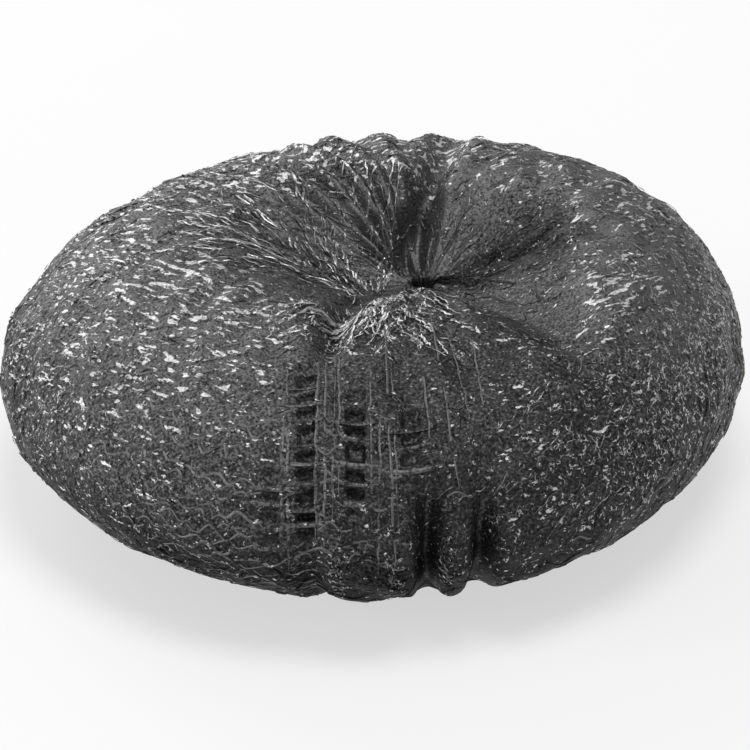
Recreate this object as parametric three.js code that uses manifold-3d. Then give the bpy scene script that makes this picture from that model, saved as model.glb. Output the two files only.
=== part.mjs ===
// Knitted metal scourer.
// A sleeve of flat galvanised ribbon, knitted in the round, is rolled up on itself into a plump ring.
// The sleeve's ends draw the middle together, so the ring closes to a pinched hole, with gathers that
// run into it from all round. The turns of the roll are one solid, and the outermost turn is its wall:
// ridged all over by the rows of stitches, with open stitches at the front, where the knit is stretched
// until the turn beneath shows between its strands.
// Millimetres and degrees, +Z up. The ring rests on z = 0 about the middle of its outline, with the
// stretched side towards -Y.

import * as THREE from 'three';
import { ParametricGeometry } from 'three/addons/geometries/ParametricGeometry.js';
import { mergeVertices } from 'three/addons/utils/BufferGeometryUtils.js';
import Module from 'manifold-3d';

// The rolled ring
const OUTER_DIAMETER = 100; // across the roll's widest, between its ridges
const RING_HEIGHT = 34; // to the crown of the roll, between its ridges
const CROWN_DIAMETER = 47; // across the ring, from the top of the roll to the top of the roll
const WIDEST_HEIGHT = 16.5; // height at which the roll is widest
const HOLE_DIAMETER = 3.6; // pinched hole through the middle
const DIMPLE_DEPTH = 9.5; // from the crown down to the pinch
const DIMPLE_EASE = 0.38; // share of its width over which the dimple's wall stays level at crown and pinch
const UNDER_DIMPLE_DEPTH = 6; // depth of the plainer dimple on the underside
const RESTING_DENT = 0.6; // how far the underside is pressed flat by its own weight
const OVAL = 1.8; // by how much the outline is longer than round, each way
const OVAL_ANGLE = 42; // direction of the long way, from +X towards +Y
const LOBE = 0.8; // by how much the outline bulges three ways besides
const LOBE_ANGLE = 49; // direction of one of those bulges
const HOLE_RIGHT = 6.2; // the hole lies off the middle, towards +X
const HOLE_BACK = 8.6; // and towards +Y

// The crown of the upper side wanders: out at the two sides, in where the roll bulges towards the hole
const CROWN_SIDES = 3.5;
const CROWN_BULGES = [
  { angle: -82, halfWidth: 24, inward: 7.5 },
  { angle: 85, halfWidth: 45, inward: 7 },
  { angle: -38, halfWidth: 30, inward: -4 },
];

// Valleys between the bulges: a cleft behind the hole, and a notch on either side of the front bulge.
// Each turns from its angle by a bend that is full at bendStart and runs out over bendLength, and lies
// between two pairs of radii over which it deepens and closes.
const VALLEYS = [
  {
    angle: 77, bend: 27, bendStart: 6, bendLength: 7, halfWidth: 2.3, depth: 5,
    deepens: [1.8, 7], closes: [23, 44],
  },
  {
    angle: -100, bend: -14, bendStart: 18, bendLength: 14, halfWidth: 1.8, depth: 3.2,
    deepens: [8, 17], closes: [22, 38],
  },
  {
    angle: -47, bend: 0, bendStart: 18, bendLength: 14, halfWidth: 4.5, depth: 3,
    deepens: [9, 20], closes: [26, 40],
  },
];

// Gathers that run into the hole, deepest at the back on the left
const GATHERS = 32;
const GATHER_DEPTH = 1.6;
const GATHER_SIDE = 122; // direction in which they are deepest
const GATHER_SPREAD = 42; // how far round from there they are deep
const GATHER_ELSEWHERE = 0.2; // share of the depth that is left everywhere else
const GATHER_RISE = 7; // distance from the hole at which a gather is deepest
const GATHER_REACH = 17; // where the gathers fade out at the two sides
const GATHER_REACH_ALONG = 46; // and at the back and the front, where they cross the crown
const GATHER_FADE = 8; // length over which they fade
const GATHER_DRIFT = 2.6; // how unevenly they are spaced

// Rows of stitches
const WALES = 48; // stitches round the ring
const COURSE_RIDGE = 0.5; // height of a row of stitches over the valley beside it
const WALE_RIDGE = 0.3; // height of a column of stitches over the valley beside it
const STITCH_POINT = 1.8; // how far the point of a stitch's V lies beyond its arms
const SHOULDER_ROWS = 17; // facets down the outside of the roll, from its crown to its widest
const DIMPLE_ROWS = 9; // from the crown to the pinch
const HOLE_ROWS = 2; // through the hole

// Creases that run down the front
const CREASES = [
  { angle: -82.5, share: 1, halfWidth: 3 },
  { angle: -75, share: 0.9, halfWidth: 3 },
  { angle: -101.25, share: 0.5, halfWidth: 4 },
];
const CREASE_DEPTH = 2.5; // of the deepest crease; the others have a share of it
const CREASE_TOP = 27; // height at which a crease begins
const CREASE_FADE = 9; // height over which it deepens
const CREASE_FOOT = 14; // height under which it closes again towards the underside

// Stretched stitches at the front. Each column of open ones lies between two places across the front,
// from the outline's middle, and two along the surface, from the widest line. Its rungs climb by rise
// from left to right, and it goes through a share of the outermost turn.
const STRETCH_ANGLE = -90; // middle of the stretched patch
const STRETCH_HALF_ANGLE = 17;
const STRETCH_FOOT = -6; // lower and upper end of the patch, along the surface from the widest line
const STRETCH_TOP = 30;
const STRETCHED_POINT = 0.7; // what the stretch leaves of a stitch's point
const OPEN_COLUMNS = [
  { left: -14.4, right: -11.4, foot: -2, top: 13.6, rise: 0.4, share: 0.6 },
  { left: -10, right: -6.9, foot: 1, top: 27, rise: 0.8, share: 1 },
  { left: -3.7, right: -0.8, foot: 4, top: 22.2, rise: -0.4, share: 1 },
  { left: 3.4, right: 6.2, foot: 8, top: 21, rise: 0.2, share: 0.6 },
];
const RUNG_PITCH = 2.6;
const RUNG_WIDTH = 0.8; // knit left standing between two open stitches that lie one above the other
const WALL = 1.2; // thickness of the outermost turn
const SETTLING_STEPS = 6; // tries in which a place across the front is found on the curved surface

const { degToRad: degrees, lerp, smoothstep, euclideanModulo } = THREE.MathUtils;
const outerRadius = OUTER_DIAMETER / 2;
const crownRadius = CROWN_DIAMETER / 2;
const holeRadius = HOLE_DIAMETER / 2;
const columns = 2 * WALES;
const columnAngle = (2 * Math.PI) / columns;
const quarter = Math.PI / 2;

// Section of the roll as (radius, height), from its widest point over the crown, down the hole and back
// along the underside. The underside reaches below z = 0 by the resting dent, which is pressed flat later.
const shoulderWidth = outerRadius - crownRadius;
const dimpleWidth = crownRadius - holeRadius;
const pinchTop = RING_HEIGHT - DIMPLE_DEPTH;
const pinchFoot = UNDER_DIMPLE_DEPTH - RESTING_DENT;
const section = new THREE.CurvePath();
section.add(new THREE.EllipseCurve(
  crownRadius, WIDEST_HEIGHT, shoulderWidth, RING_HEIGHT - WIDEST_HEIGHT, 0, quarter));
section.add(new THREE.CubicBezierCurve(
  new THREE.Vector2(crownRadius, RING_HEIGHT),
  new THREE.Vector2(crownRadius - DIMPLE_EASE * dimpleWidth, RING_HEIGHT),
  new THREE.Vector2(holeRadius + DIMPLE_EASE * dimpleWidth, pinchTop),
  new THREE.Vector2(holeRadius, pinchTop)));
section.add(new THREE.LineCurve(
  new THREE.Vector2(holeRadius, pinchTop), new THREE.Vector2(holeRadius, pinchFoot)));
section.add(new THREE.EllipseCurve(
  crownRadius, pinchFoot, dimpleWidth, UNDER_DIMPLE_DEPTH, 2 * quarter, 3 * quarter));
section.add(new THREE.EllipseCurve(
  crownRadius, WIDEST_HEIGHT, shoulderWidth, WIDEST_HEIGHT + RESTING_DENT, 3 * quarter, 4 * quarter));
const stretchRows = [SHOULDER_ROWS, DIMPLE_ROWS, HOLE_ROWS, DIMPLE_ROWS, SHOULDER_ROWS];
const rows = stretchRows.reduce((sum, count) => sum + count);
const stretchEnds = section.getCurveLengths();
const sectionLength = section.getLength();

// Distance along the section at which a row of facets lies
function distanceAtRow(row) {
  let firstRow = 0;
  let start = 0;
  for (let i = 0; i < stretchRows.length; i++) {
    const lastRow = firstRow + stretchRows[i];
    if (row <= lastRow) {
      return start + ((row - firstRow) / stretchRows[i]) * (stretchEnds[i] - start);
    }
    firstRow = lastRow;
    start = stretchEnds[i];
  }
  return sectionLength;
}

// Turn from a direction in degrees to an angle, the short way round
function turnFrom(direction, angle) {
  const turn = angle - degrees(direction);
  return Math.atan2(Math.sin(turn), Math.cos(turn));
}

// Rounded hump over a value, 1 at zero and about a third at its half width
function hump(value, halfWidth) {
  return Math.exp(-((value / halfWidth) ** 2));
}

// Height of the gathers at an angle and a distance from the hole: none at the pinch, most a little way out
function gatherLift(angle, fromHole) {
  const along = Math.sin(angle) ** 2;
  const reach = lerp(GATHER_REACH, GATHER_REACH_ALONG, along);
  const rise = smoothstep(fromHole, 0, GATHER_RISE);
  const fade = 1 - smoothstep(fromHole, reach - GATHER_FADE, reach);
  const drift = degrees(GATHER_DRIFT) * Math.sin(3 * angle);
  const side = lerp(GATHER_ELSEWHERE, 1, hump(turnFrom(GATHER_SIDE, angle), degrees(GATHER_SPREAD)));
  return (GATHER_DEPTH / 2) * side * Math.cos(GATHERS * (angle + drift)) * rise * fade;
}

// How far the crown stands out from its circle at an angle
function crownShift(angle) {
  return CROWN_BULGES.reduce((shift, bulge) => {
    return shift - bulge.inward * hump(turnFrom(bulge.angle, angle), degrees(bulge.halfWidth));
  }, CROWN_SIDES);
}

// Depth of the valleys at an angle and a radius
function valleyLift(angle, radius) {
  return VALLEYS.reduce((lift, valley) => {
    const bend = valley.bend * Math.exp((valley.bendStart - radius) / valley.bendLength);
    const aside = turnFrom(valley.angle + bend, angle) * radius;
    const open = smoothstep(radius, ...valley.deepens) * (1 - smoothstep(radius, ...valley.closes));
    return lift - valley.depth * hump(aside, valley.halfWidth) * open;
  }, 0);
}

// Depth of the creases at the front, which begin under the crown, deepen on the way down and close at
// the foot
function creaseLift(angle, height) {
  const begun = 1 - smoothstep(height, CREASE_TOP - CREASE_FADE, CREASE_TOP);
  const open = smoothstep(height, 0, CREASE_FOOT);
  return CREASES.reduce((lift, crease) => {
    const across = hump(turnFrom(crease.angle, angle), degrees(crease.halfWidth));
    return lift - CREASE_DEPTH * crease.share * begun * open * across;
  }, 0);
}

// How far the ring's outline stands out of round at an angle
function outlineWave(angle) {
  const oval = OVAL * Math.cos(2 * turnFrom(OVAL_ANGLE, angle));
  const lobes = LOBE * Math.cos(3 * turnFrom(LOBE_ANGLE, angle));
  return oval + lobes;
}

// Point of the ring's surface at an angle round it and a distance along its section, raised by lift. The
// creases lie on the outside of the roll, the gathers in and around the dimples, and the valleys and the
// crown's wandering on the upper side.
function ringPoint(angle, distance, lift) {
  const share = euclideanModulo(distance / sectionLength, 1);
  const place = section.getPoint(share);
  const tangent = section.getTangent(share);
  const outward = new THREE.Vector2(tangent.y, -tangent.x);
  const fromHole = place.x - holeRadius;
  const upper = smoothstep(place.y, WIDEST_HEIGHT, pinchTop);
  const inside = smoothstep(place.x, holeRadius, crownRadius);
  const outside = smoothstep(place.x, crownRadius, outerRadius);
  const shift = upper * (inside - outside) * crownShift(angle);
  const spread = (fromHole + shift) / (outerRadius - holeRadius);
  const folds = gatherLift(angle, fromHole) + outside * creaseLift(angle, place.y)
    + upper * valleyLift(angle, place.x);
  place.addScaledVector(outward, folds + lift * smoothstep(fromHole, 0, GATHER_RISE));
  const radius = place.x + shift + spread * outlineWave(angle);
  return new THREE.Vector3(
    radius * Math.cos(angle) + HOLE_RIGHT * (1 - spread),
    radius * Math.sin(angle) + HOLE_BACK * (1 - spread),
    Math.max(place.y, 0),
  );
}

// How far into the stretched patch a place lies, from 0 outside it to 1: there the ridges are pulled flat
// and the stitches' points nearly straight
function stretched(angle, distance) {
  const along = distance > sectionLength / 2 ? distance - sectionLength : distance;
  const aside = Math.abs(turnFrom(STRETCH_ANGLE, angle));
  const patchAngle = degrees(STRETCH_HALF_ANGLE);
  const inAngle = 1 - smoothstep(aside, patchAngle, patchAngle + columnAngle);
  const aboveFoot = smoothstep(along, STRETCH_FOOT - RUNG_PITCH, STRETCH_FOOT);
  const underTop = 1 - smoothstep(along, STRETCH_TOP, STRETCH_TOP + RUNG_PITCH);
  return inAngle * Math.min(aboveFoot, underTop);
}

// One corner of the ring's facets. A stitch is a V over two columns: odd columns stand further along the
// section, so the ridges zigzag round the ring as rows of knitting do.
function knitCorner(turn, roll, target) {
  const column = Math.round(turn * columns) % columns;
  const row = Math.round(roll * rows) % rows;
  const angle = column * columnAngle;
  const pulled = stretched(angle, distanceAtRow(row));
  const point = column % 2 === 0 ? 0 : lerp(STITCH_POINT, STRETCHED_POINT, pulled);
  const courseLift = row % 2 === 0 ? COURSE_RIDGE / 2 : -COURSE_RIDGE / 2;
  const waleLift = column % 2 === 0 ? WALE_RIDGE / 2 : -WALE_RIDGE / 2;
  target.copy(ringPoint(angle, distanceAtRow(row) + point, (courseLift + waleLift) * (1 - pulled)));
}

const wasm = await Module();
wasm.setup();

// A closed geometry as a solid that can be joined and cut
function solidOf(geometry) {
  const bare = geometry.clone();
  bare.deleteAttribute('normal');
  bare.deleteAttribute('uv');
  const merged = mergeVertices(bare);
  return new wasm.Manifold(new wasm.Mesh({
    numProp: 3,
    vertProperties: merged.attributes.position.array,
    triVerts: new Uint32Array(merged.index.array),
  }));
}

function geometryOf(solid) {
  const mesh = solid.getMesh();
  const geometry = new THREE.BufferGeometry();
  geometry.setAttribute('position', new THREE.BufferAttribute(mesh.vertProperties, 3));
  geometry.setIndex(new THREE.BufferAttribute(mesh.triVerts, 1));
  geometry.computeVertexNormals();
  return geometry;
}

// Middle of the ring's outline at its widest line
const outlineBox = new THREE.Box3();
for (let column = 0; column < columns; column++) {
  outlineBox.expandByPoint(ringPoint(column * columnAngle, 0, 0));
}
const outlineMiddle = outlineBox.getCenter(new THREE.Vector3());

// Angle at which the front of the ring lies at a place across it
function frontAngle(across, distance) {
  let angle = degrees(STRETCH_ANGLE);
  for (let step = 0; step < SETTLING_STEPS; step++) {
    const short = across + outlineMiddle.x - ringPoint(angle, distance, 0).x;
    angle += short / outerRadius;
  }
  return angle;
}

// Cutter for one open stitch: a four-sided eye, sloped as its rungs are
function openStitchCutter(column, distance) {
  const angle = frontAngle((column.left + column.right) / 2, distance);
  const centre = ringPoint(angle, distance, 0);
  const left = ringPoint(angle - columnAngle / 2, distance, 0);
  const aside = ringPoint(angle + columnAngle / 2, distance, 0).sub(left).normalize();
  const upward = ringPoint(angle, distance + RUNG_WIDTH, 0).sub(centre);
  const outward = new THREE.Vector3().crossVectors(aside, upward).normalize();
  upward.crossVectors(outward, aside);
  const halfWidth = (column.right - column.left) / 2;
  const halfHeight = (RUNG_PITCH - RUNG_WIDTH) / 2;
  const halfRise = column.rise / 2;
  const eye = new THREE.Shape([
    new THREE.Vector2(-halfWidth, -halfHeight - halfRise),
    new THREE.Vector2(halfWidth, -halfHeight + halfRise),
    new THREE.Vector2(halfWidth, halfHeight + halfRise),
    new THREE.Vector2(-halfWidth, halfHeight - halfRise),
  ]);
  const inward = column.share * WALL;
  const cutter = new THREE.ExtrudeGeometry(eye, { depth: inward + WALL, bevelEnabled: false });
  cutter.translate(0, 0, -inward);
  cutter.applyMatrix4(new THREE.Matrix4().makeBasis(aside, upward, outward).setPosition(centre));
  return solidOf(cutter);
}

// The rolled sleeve, with its open stitches cut into the outermost turn
function knittedRing() {
  let ring = solidOf(new ParametricGeometry(knitCorner, columns, rows));
  for (const column of OPEN_COLUMNS) {
    const stitches = Math.round((column.top - column.foot) / RUNG_PITCH);
    for (let stitch = 0; stitch < stitches; stitch++) {
      const distance = column.foot + (stitch + 0.5) * RUNG_PITCH;
      ring = ring.subtract(openStitchCutter(column, distance));
    }
  }
  return geometryOf(ring);
}

const galvanisedRibbon = new THREE.MeshStandardMaterial({
  name: 'galvanised_ribbon',
  color: 0x6b6b6b,
  roughness: 0.45,
  metalness: 0.85,
});

// The outline is set about the middle of the ring
const ringGeometry = knittedRing();
ringGeometry.computeBoundingBox();
const middle = ringGeometry.boundingBox.getCenter(new THREE.Vector3());
const knittedPad = new THREE.Mesh(ringGeometry, galvanisedRibbon);
knittedPad.name = 'knitted_pad';
knittedPad.position.set(-middle.x, -middle.y, 0);

const scourer = new THREE.Group();
scourer.name = 'metal_scourer';
scourer.add(knittedPad);

export default scourer;
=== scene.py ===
import math

import bmesh
import bpy
import numpy as np
from mathutils import Euler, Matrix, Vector


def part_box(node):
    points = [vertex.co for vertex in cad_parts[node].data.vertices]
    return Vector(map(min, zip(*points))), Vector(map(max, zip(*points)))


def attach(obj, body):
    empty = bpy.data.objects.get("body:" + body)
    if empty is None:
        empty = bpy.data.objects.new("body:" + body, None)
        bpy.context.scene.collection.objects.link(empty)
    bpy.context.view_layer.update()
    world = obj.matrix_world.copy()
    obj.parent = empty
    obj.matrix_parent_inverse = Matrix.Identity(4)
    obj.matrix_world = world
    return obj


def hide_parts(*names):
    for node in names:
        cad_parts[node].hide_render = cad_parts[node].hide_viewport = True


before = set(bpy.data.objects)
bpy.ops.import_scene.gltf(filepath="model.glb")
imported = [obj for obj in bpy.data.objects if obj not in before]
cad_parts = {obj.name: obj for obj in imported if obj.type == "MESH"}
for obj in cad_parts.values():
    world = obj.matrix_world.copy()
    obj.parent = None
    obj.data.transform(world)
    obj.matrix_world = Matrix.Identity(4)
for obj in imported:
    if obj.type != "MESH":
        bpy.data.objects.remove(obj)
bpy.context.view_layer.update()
pad_low, pad_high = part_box("knitted_pad")

MM = 0.001
TAU = 2 * math.pi
TINY = 1e-12
SEED = 11
rng = np.random.default_rng(SEED)

# Section of the rolled ring, as the frame's solid has it
KNIT_OVER_OUTLINE = 0.7 * MM
KNIT_OVER_CROWN = 1.0 * MM
OUTER_RADIUS = (pad_high.x - pad_low.x) / 2 - KNIT_OVER_OUTLINE
RING_HEIGHT = pad_high.z - KNIT_OVER_CROWN
CROWN_RADIUS = 23.5 * MM
HOLE_RADIUS = 1.8 * MM
WIDEST_HEIGHT = 16.5 * MM
DIMPLE_DEPTH = 9.5 * MM
DIMPLE_EASE = 0.38
UNDER_DIMPLE_DEPTH = 6.0 * MM
RESTING_DENT = 0.6 * MM
SECTION_STEPS = 200
FLOOR_SOFTNESS = 0.25 * MM

# Outline of the ring, and the place of the hole in it
FRONT = math.radians(-90)
HOLE_RIGHT = 6.2 * MM
HOLE_BACK = 8.6 * MM
OVAL = 1.8 * MM
OVAL_ANGLE = math.radians(42)
LOBE = 0.8 * MM
LOBE_ANGLE = math.radians(49)
OUTLINE_STEPS = 720

# How far the crown stands out, and its bulges inwards: angle, half width in degrees and reach
CROWN_SIDES = 3.5 * MM
CROWN_BULGES = ((-82, 24, 7.5 * MM), (85, 45, 7.0 * MM), (-38, 30, -4.0 * MM))

# Valleys of the upper side: angle, bend, its start and length, half width, depth, radii of both ends
VALLEYS = (
    (77, 27, 6 * MM, 7 * MM, 2.3 * MM, 5.0 * MM, (1.8 * MM, 7 * MM), (23 * MM, 44 * MM)),
    (-100, -14, 18 * MM, 14 * MM, 1.8 * MM, 3.2 * MM, (8 * MM, 17 * MM), (22 * MM, 38 * MM)),
    (-47, 0, 18 * MM, 14 * MM, 4.5 * MM, 3.0 * MM, (9 * MM, 20 * MM), (26 * MM, 40 * MM)),
)

# Gathers that run into the hole, deepest at the back on the left
GATHERS = 32
GATHER_DEPTH = 1.6 * MM
GATHER_SIDE = math.radians(122)
GATHER_SPREAD = math.radians(42)
GATHER_ELSEWHERE = 0.2
GATHER_DRIFT = math.radians(2.6)
GATHER_DRIFT_WAVES = 3
GATHER_RISE = 7 * MM
GATHER_REACH = 17 * MM
GATHER_REACH_ALONG = 46 * MM
GATHER_FADE = 8 * MM

# Creases down the front: angle, share of the depth and half width in degrees
CREASES = ((-82.4, 1.0, 1.9), (-73.7, 0.9, 1.9), (-100.5, 0.3, 2.4))
CREASE_DEPTH = 4.0 * MM
CREASE_TOP = 27 * MM
CREASE_FADE = 9 * MM
CREASE_FOOT = 6 * MM
CREASE_BARE = 0.4

# Open cells of the stretched patch: X of both sides, foot, top, slope of the rungs, share of the depth
CELL_COLUMNS = (
    (-14.4 * MM, -11.4 * MM, -2 * MM, 13.6 * MM, 0.2 * MM, 0.6),
    (-10.0 * MM, -6.9 * MM, 1 * MM, 27 * MM, 0.4 * MM, 1.0),
    (-3.7 * MM, -0.8 * MM, 4 * MM, 22.2 * MM, -0.2 * MM, 1.0),
    (3.4 * MM, 6.2 * MM, 8 * MM, 21 * MM, 0.1 * MM, 0.6),
)
CELL_PITCH = 2.6 * MM
CELL_DEPTH = 1.2 * MM
CELL_EDGE = 0.6 * MM
RUNG_HALF = 0.3 * MM
RUNG_SAG = 0.2 * MM
RUNG_UNEVEN = 0.4 * MM
RUNG_UNEVEN_LENGTH = 7 * MM
RUNG_UNEVEN_SHIFT = 2.1

# Rounds in which a place on the ring is worked out, and the steps that give its directions
PLACE_ROUNDS = 12
ANGLE_ROUNDS = 6
FIRST_SPREAD = 0.3
SURFACE_STEP = 0.05 * MM
SURFACE_TURN = 4 * SURFACE_STEP / OUTER_RADIUS


def ramp(value, low, high):
    share = np.clip((value - low) / (high - low), 0, 1)
    return share * share * (3 - 2 * share)


def hump(value, half_width):
    return np.exp(-(value / half_width) ** 2)


def angle_between(angle, other):
    return np.mod(angle - other + math.pi, TAU) - math.pi


def beside(angle, middle, half_width):
    """How close an angle lies to another, from 0 to 1."""
    return hump(angle_between(angle, middle), half_width)


def unit(vectors):
    return vectors / np.maximum(np.linalg.norm(vectors, axis=-1, keepdims=True), TINY)


def quarter(start, reach, middle, height):
    """A quarter of an ellipse round the crown, as rows of radius and height."""
    turn = start + np.linspace(0, math.pi / 2, SECTION_STEPS, endpoint=False)
    return np.column_stack((CROWN_RADIUS + reach * np.cos(turn), middle + height * np.sin(turn)))


def dimple_wall():
    """From the crown down to the hole, level at both ends."""
    share = np.linspace(0, 1, SECTION_STEPS, endpoint=False)
    fall = ramp(share, 0, 1)
    inwards = fall + 3 * DIMPLE_EASE * share * (1 - share) * (1 - 2 * share)
    return np.column_stack((CROWN_RADIUS - dimple_reach * inwards, RING_HEIGHT - DIMPLE_DEPTH * fall))


def hole_wall(top, foot):
    heights = np.linspace(top, foot, SECTION_STEPS, endpoint=False)
    return np.column_stack((np.full(SECTION_STEPS, HOLE_RADIUS), heights))


# Section of the ring from the widest line over the crown, through the hole and back underneath
shoulder_reach = OUTER_RADIUS - CROWN_RADIUS
dimple_reach = CROWN_RADIUS - HOLE_RADIUS
hole_top = RING_HEIGHT - DIMPLE_DEPTH
hole_foot = UNDER_DIMPLE_DEPTH - RESTING_DENT
section = np.vstack((
    quarter(0, shoulder_reach, WIDEST_HEIGHT, RING_HEIGHT - WIDEST_HEIGHT),
    dimple_wall(),
    hole_wall(hole_top, hole_foot),
    quarter(math.pi, dimple_reach, hole_foot, UNDER_DIMPLE_DEPTH),
    quarter(1.5 * math.pi, shoulder_reach, WIDEST_HEIGHT, WIDEST_HEIGHT + RESTING_DENT),
    ((OUTER_RADIUS, WIDEST_HEIGHT),),
))
section_at = np.concatenate(((0.0,), np.cumsum(np.linalg.norm(np.diff(section, axis=0), axis=1))))
section_length = section_at[-1]
CROWN_AT, PINCH_AT, UNDER_PINCH_AT, UNDER_CROWN_AT = section_at[SECTION_STEPS:-1:SECTION_STEPS]
section_way = unit(np.gradient(section, section_at, axis=0))


def on_section(distance):
    """Radius, height and outward direction at a distance along the section."""
    place = np.mod(distance, section_length)
    columns = (section[:, 0], section[:, 1], section_way[:, 1], -section_way[:, 0])
    return [np.interp(place, section_at, column) for column in columns]


def from_widest(distance):
    """Distance along the section from its widest line, negative below it."""
    return np.mod(distance + section_length / 2, section_length) - section_length / 2


def crown_shift(angle, radius, height):
    shift = np.full_like(angle, CROWN_SIDES)
    for degrees, half_width, inward in CROWN_BULGES:
        shift -= inward * beside(angle, math.radians(degrees), math.radians(half_width))
    near = ramp(radius, HOLE_RADIUS, CROWN_RADIUS) - ramp(radius, CROWN_RADIUS, OUTER_RADIUS)
    return shift * near * ramp(height, WIDEST_HEIGHT, hole_top)


def gather_lift(angle, from_hole):
    reach = GATHER_REACH + (GATHER_REACH_ALONG - GATHER_REACH) * np.sin(angle) ** 2
    fade = ramp(from_hole, 0, GATHER_RISE) * (1 - ramp(from_hole, reach - GATHER_FADE, reach))
    side = beside(angle, GATHER_SIDE, GATHER_SPREAD)
    depth = GATHER_DEPTH / 2 * (GATHER_ELSEWHERE + (1 - GATHER_ELSEWHERE) * side)
    return depth * np.cos(GATHERS * (angle + GATHER_DRIFT * np.sin(GATHER_DRIFT_WAVES * angle))) * fade


def valley_lift(angle, radius, height):
    lift = np.zeros_like(angle)
    for degrees, bend, bend_start, bend_length, half_width, depth, deepens, closes in VALLEYS:
        turn = math.radians(bend) * np.exp((bend_start - radius) / bend_length)
        aside = angle_between(angle, math.radians(degrees) + turn) * radius
        lift -= depth * hump(aside, half_width) * ramp(radius, *deepens) * (1 - ramp(radius, *closes))
    return lift * ramp(height, WIDEST_HEIGHT, hole_top)


def crease_lift(angle, radius, height):
    lift = np.zeros_like(angle)
    for degrees, share, half_width in CREASES:
        lift -= CREASE_DEPTH * share * beside(angle, math.radians(degrees), math.radians(half_width))
    upright = (1 - ramp(height, CREASE_TOP - CREASE_FADE, CREASE_TOP)) * ramp(height, 0, CREASE_FOOT)
    return lift * upright * ramp(radius, CROWN_RADIUS, OUTER_RADIUS)


def outline_wave(angle):
    return OVAL * np.cos(2 * (angle - OVAL_ANGLE)) + LOBE * np.cos(3 * (angle - LOBE_ANGLE))


def uncentred_point(angle, distance, lift):
    """Points of the ring before it is centred, at an angle, a distance along its section and a height."""
    radius, height, out_radius, out_height = on_section(distance)
    raised = lift + gather_lift(angle, radius - HOLE_RADIUS) + valley_lift(angle, radius, height)
    raised = raised + crease_lift(angle, radius, height)
    radius = radius + crown_shift(angle, radius, height)
    spread = (radius - HOLE_RADIUS) / (OUTER_RADIUS - HOLE_RADIUS)
    reach = radius + out_radius * raised + spread * outline_wave(angle)
    x = reach * np.cos(angle) + HOLE_RIGHT * (1 - spread)
    y = reach * np.sin(angle) + HOLE_BACK * (1 - spread)
    z = FLOOR_SOFTNESS * np.logaddexp(0, (height + out_height * raised) / FLOOR_SOFTNESS)
    return np.stack((x, y, z), axis=-1)


# The stretched front has no ridges, so there the plain outline touches the solid's box
outline = uncentred_point(np.linspace(0, TAU, OUTLINE_STEPS), np.zeros(OUTLINE_STEPS), 0)
outline_low, outline_high = outline.min(axis=0), outline.max(axis=0)
centre = np.array(((outline_low[0] + outline_high[0]) / 2, outline_low[1] - pad_low.y, 0))


def ring_point(angle, distance, lift):
    """Points of the ring at an angle round it, a distance along its section and a height over it."""
    return uncentred_point(angle, distance, lift) - centre


def ring_normal(angle, distance, lift):
    point = ring_point(angle, distance, lift)
    around = ring_point(angle + SURFACE_TURN, distance, lift) - point
    along = ring_point(angle, distance + SURFACE_STEP, lift) - point
    return unit(np.cross(around, along))


def place_at(x, y):
    """Angle and distance along the section at which the upper side lies over a spot."""
    x, y = x + centre[0], y + centre[1]
    spread = np.full_like(x, FIRST_SPREAD)
    for _ in range(PLACE_ROUNDS):
        right, back = x - HOLE_RIGHT * (1 - spread), y - HOLE_BACK * (1 - spread)
        angle = np.arctan2(back, right)
        radius = np.hypot(right, back) - spread * outline_wave(angle)
        spread = (spread + (radius - HOLE_RADIUS) / (OUTER_RADIUS - HOLE_RADIUS)) / 2
    unshifted = radius
    for _ in range(PLACE_ROUNDS):
        unshifted = (unshifted + radius - crown_shift(angle, unshifted, RING_HEIGHT)) / 2
    upper = slice(2 * SECTION_STEPS, None, -1)
    return angle, np.interp(unshifted, section[upper, 0], section_at[upper])


def angle_at(x, distance):
    """Angle at which the front of the ring lies at an X."""
    radius = on_section(distance)[0]
    angle = np.full_like(radius, FRONT)
    for _ in range(ANGLE_ROUNDS):
        angle = angle + (x - ring_point(angle, distance, 0)[..., 0]) / radius
    return angle


def rung_wave(along, column):
    """How far the rungs of a column of open cells lie off their even places."""
    return RUNG_UNEVEN * np.sin(TAU * along / RUNG_UNEVEN_LENGTH + RUNG_UNEVEN_SHIFT * column)


def cell_share(angle, distance):
    """How far a place lies in an open cell of the stretched patch, from 0 to 1."""
    along = from_widest(distance)
    x = ring_point(angle, distance, 0)[..., 0]
    most = np.zeros_like(angle)
    for column, (left, right, foot, top, slope, share) in enumerate(CELL_COLUMNS):
        half = (right - left) / 2
        aside = (x - left) / half - 1
        across = ramp((1 - np.abs(aside)) * half, 0, CELL_EDGE)
        level = along - foot - slope * aside + RUNG_SAG * (1 - aside * aside) + rung_wave(along, column)
        from_rung = (0.5 - np.abs(np.mod(level / CELL_PITCH, 1) - 0.5)) * CELL_PITCH
        upright = ramp(along, foot, foot + CELL_PITCH) * (1 - ramp(along, top - CELL_PITCH, top))
        open_part = across * ramp(from_rung, RUNG_HALF, RUNG_HALF + CELL_EDGE) * upright
        most = np.maximum(most, share * open_part)
    return most * (np.sin(angle) < 0)


def in_ladder(angle, distance):
    """Whether a place lies in a column of open cells or in a deep crease, where no stitch is left."""
    along = from_widest(distance)
    x = ring_point(angle, distance, 0)[..., 0]
    radius, height, _, _ = on_section(distance)
    inside = crease_lift(angle, radius, height) < -CREASE_BARE * CREASE_DEPTH
    for left, right, foot, top, _, _ in CELL_COLUMNS:
        inside |= (x > left) & (x < right) & (along > foot) & (along < top) & (np.sin(angle) < 0)
    return inside


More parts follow.
